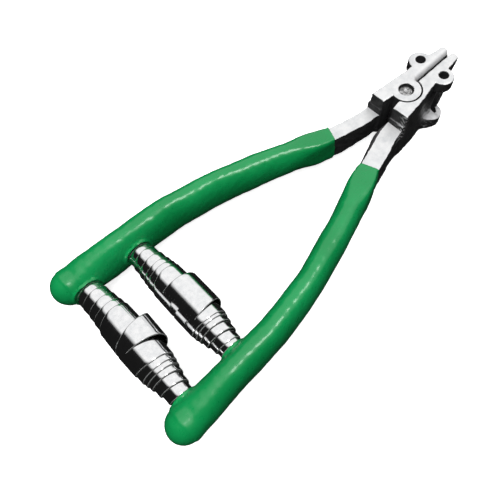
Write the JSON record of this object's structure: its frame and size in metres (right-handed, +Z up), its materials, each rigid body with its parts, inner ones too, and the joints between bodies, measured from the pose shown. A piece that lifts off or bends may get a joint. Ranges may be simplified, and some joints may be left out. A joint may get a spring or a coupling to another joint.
{
  "type": "racket stringing starting clamp",
  "caption": "Spring-loaded hand clamp: squeezing two coated handles against double volute springs opens a pair of tall flat jaws with eyed lugs.",
  "frame": {"origin": "centre of the underside of the part's box, with the jaws closed and the tool lying flat on its jaw blocks and handles", "axes": "+X towards the jaw tips, +Y towards the arm whose ear is the upper half of the lap joint, +Z up along the hinge axis"},
  "size_m": [0.2, 0.09, 0.03],
  "materials": {
    "forged_steel": "machined bright on the flat faces, dark scale on the sides",
    "green_vinyl": "glossy dipped coating",
    "bonded_grit": "fine dark grit",
    "pin_steel": "turned",
    "spring_strip": "polished plated strip"
  },
  "bodies": {
    "left_lever": {"left_arm": "forged_steel", "left_grip": "green_vinyl", "left_jaw_facing": "bonded_grit", "pivot_pin": "pin_steel", "left_rear_peg": "pin_steel", "left_front_peg": "pin_steel", "rear_spring": "spring_strip", "front_spring": "spring_strip"},
    "right_lever": {"right_arm": "forged_steel", "right_grip": "green_vinyl", "right_jaw_facing": "bonded_grit", "right_rear_peg": "pin_steel", "right_front_peg": "pin_steel"}
  },
  "joints": [
    {"name": "jaw_hinge", "type": "hinge", "parent": "left_lever", "child": "right_lever", "pos_m": [0.0697, 0, 0.015], "axis": [0, 0, -1], "range_deg": [0, 10], "stiffness_Nm_per_rad": 16, "springref_deg": -14.32, "deforming": ["rear_spring", "front_spring"]}
  ]
}
